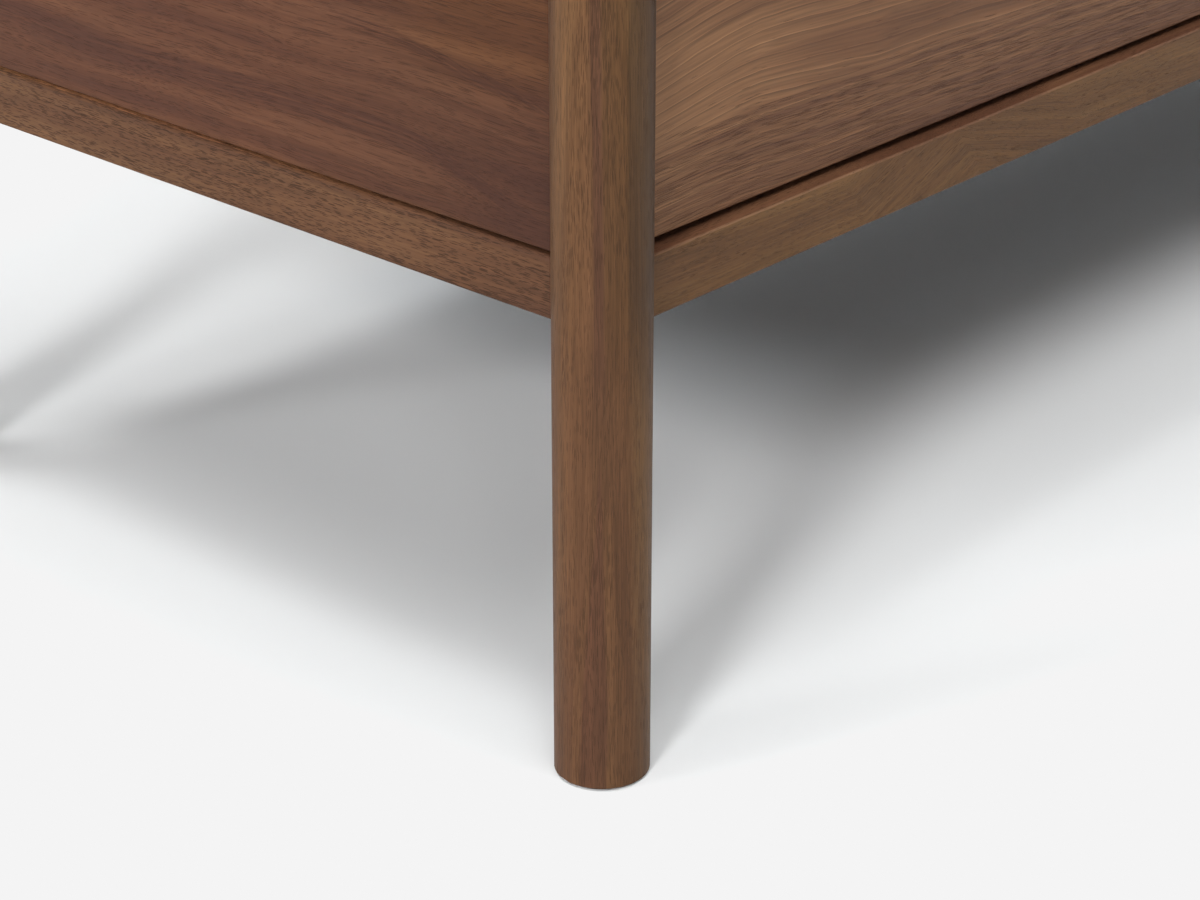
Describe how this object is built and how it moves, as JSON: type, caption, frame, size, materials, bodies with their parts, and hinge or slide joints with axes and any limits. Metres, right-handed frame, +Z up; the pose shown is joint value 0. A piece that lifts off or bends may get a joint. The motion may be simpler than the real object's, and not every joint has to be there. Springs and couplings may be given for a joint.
{
  "type": "double dresser",
  "caption": "Wide walnut dresser hung between round full-height corner posts, with two columns of inset drawers on telescopic slides and turned knobs.",
  "frame": {"origin": "on the floor, in the middle of the footprint, knobs included", "axes": "+X to the right along the width, +Y to the back, +Z up; the drawers face -Y"},
  "size_m": [1.525, 0.508, 0.84],
  "materials": {
    "walnut": "satin oil, open pores",
    "walnut_veneer": "satin lacquer",
    "turned_walnut": "satin oil",
    "walnut_ply": "matt",
    "pale_hardwood": "clear matt lacquer",
    "birch_ply": "clear matt lacquer",
    "slide_steel": "zinc-plated",
    "screw_steel": "zinc-plated",
    "nylon": "moulded"
  },
  "bodies": {
    "case": {"front_left_leg": "walnut", "front_right_leg": "walnut", "rear_left_leg": "walnut", "rear_right_leg": "walnut", "top": "walnut", "left_side_panel": "walnut_veneer", "right_side_panel": "walnut_veneer", "left_lower_rail": "walnut", "left_upper_rail": "walnut", "right_lower_rail": "walnut", "right_upper_rail": "walnut", "front_lower_rail": "walnut", "front_upper_rail": "walnut", "back_lower_rail": "walnut", "back_upper_rail": "walnut", "centre_divider": "birch_ply", "centre_stile": "walnut", "back_panel": "walnut_ply", "bottom_panel": "walnut_ply", "slide_battens": "birch_ply", "case_slide_members": "slide_steel", "frame_dowels": "pale_hardwood", "case_screws": "screw_steel", "leg_glides": "nylon"},
    "bottom_left_drawer": {"bottom_left_drawer_front": "walnut", "bottom_left_drawer_box": "pale_hardwood", "bottom_left_drawer_base": "birch_ply", "bottom_left_drawer_knobs": "turned_walnut", "bottom_left_drawer_fittings": "slide_steel"},
    "bottom_left_drawer_middle_members": {"bottom_left_drawer_middle_slide_members": "slide_steel"},
    "bottom_right_drawer": {"bottom_right_drawer_front": "walnut", "bottom_right_drawer_box": "pale_hardwood", "bottom_right_drawer_base": "birch_ply", "bottom_right_drawer_knobs": "turned_walnut", "bottom_right_drawer_fittings": "slide_steel"},
    "bottom_right_drawer_middle_members": {"bottom_right_drawer_middle_slide_members": "slide_steel"},
    "middle_left_drawer": {"middle_left_drawer_front": "walnut", "middle_left_drawer_box": "pale_hardwood", "middle_left_drawer_base": "birch_ply", "middle_left_drawer_knobs": "turned_walnut", "middle_left_drawer_fittings": "slide_steel"},
    "middle_left_drawer_middle_members": {"middle_left_drawer_middle_slide_members": "slide_steel"},
    "middle_right_drawer": {"middle_right_drawer_front": "walnut", "middle_right_drawer_box": "pale_hardwood", "middle_right_drawer_base": "birch_ply", "middle_right_drawer_knobs": "turned_walnut", "middle_right_drawer_fittings": "slide_steel"},
    "middle_right_drawer_middle_members": {"middle_right_drawer_middle_slide_members": "slide_steel"},
    "top_left_drawer": {"top_left_drawer_front": "walnut", "top_left_drawer_box": "pale_hardwood", "top_left_drawer_base": "birch_ply", "top_left_drawer_knobs": "turned_walnut", "top_left_drawer_fittings": "slide_steel"},
    "top_left_drawer_middle_members": {"top_left_drawer_middle_slide_members": "slide_steel"},
    "top_right_drawer": {"top_right_drawer_front": "walnut", "top_right_drawer_box": "pale_hardwood", "top_right_drawer_base": "birch_ply", "top_right_drawer_knobs": "turned_walnut", "top_right_drawer_fittings": "slide_steel"},
    "top_right_drawer_middle_members": {"top_right_drawer_middle_slide_members": "slide_steel"}
  },
  "joints": [
    {"name": "bottom_left_drawer_slide", "type": "slide", "parent": "case", "child": "bottom_left_drawer", "axis": [0, -1, 0], "range_m": [0, 0.4]},
    {"name": "bottom_left_drawer_middle_slide", "type": "slide", "parent": "case", "child": "bottom_left_drawer_middle_members", "axis": [0, -1, 0], "range_m": [0, 0.2]},
    {"name": "bottom_right_drawer_slide", "type": "slide", "parent": "case", "child": "bottom_right_drawer", "axis": [0, -1, 0], "range_m": [0, 0.4]},
    {"name": "bottom_right_drawer_middle_slide", "type": "slide", "parent": "case", "child": "bottom_right_drawer_middle_members", "axis": [0, -1, 0], "range_m": [0, 0.2]},
    {"name": "middle_left_drawer_slide", "type": "slide", "parent": "case", "child": "middle_left_drawer", "axis": [0, -1, 0], "range_m": [0, 0.4]},
    {"name": "middle_left_drawer_middle_slide", "type": "slide", "parent": "case", "child": "middle_left_drawer_middle_members", "axis": [0, -1, 0], "range_m": [0, 0.2]},
    {"name": "middle_right_drawer_slide", "type": "slide", "parent": "case", "child": "middle_right_drawer", "axis": [0, -1, 0], "range_m": [0, 0.4]},
    {"name": "middle_right_drawer_middle_slide", "type": "slide", "parent": "case", "child": "middle_right_drawer_middle_members", "axis": [0, -1, 0], "range_m": [0, 0.2]},
    {"name": "top_left_drawer_slide", "type": "slide", "parent": "case", "child": "top_left_drawer", "axis": [0, -1, 0], "range_m": [0, 0.4]},
    {"name": "top_left_drawer_middle_slide", "type": "slide", "parent": "case", "child": "top_left_drawer_middle_members", "axis": [0, -1, 0], "range_m": [0, 0.2]},
    {"name": "top_right_drawer_slide", "type": "slide", "parent": "case", "child": "top_right_drawer", "axis": [0, -1, 0], "range_m": [0, 0.4]},
    {"name": "top_right_drawer_middle_slide", "type": "slide", "parent": "case", "child": "top_right_drawer_middle_members", "axis": [0, -1, 0], "range_m": [0, 0.2]}
  ],
  "couplings": [
    {"joint": "bottom_left_drawer_middle_slide", "follows": "bottom_left_drawer_slide", "ratio": 0.5},
    {"joint": "bottom_right_drawer_middle_slide", "follows": "bottom_right_drawer_slide", "ratio": 0.5},
    {"joint": "middle_left_drawer_middle_slide", "follows": "middle_left_drawer_slide", "ratio": 0.5},
    {"joint": "middle_right_drawer_middle_slide", "follows": "middle_right_drawer_slide", "ratio": 0.5},
    {"joint": "top_left_drawer_middle_slide", "follows": "top_left_drawer_slide", "ratio": 0.5},
    {"joint": "top_right_drawer_middle_slide", "follows": "top_right_drawer_slide", "ratio": 0.5}
  ]
}
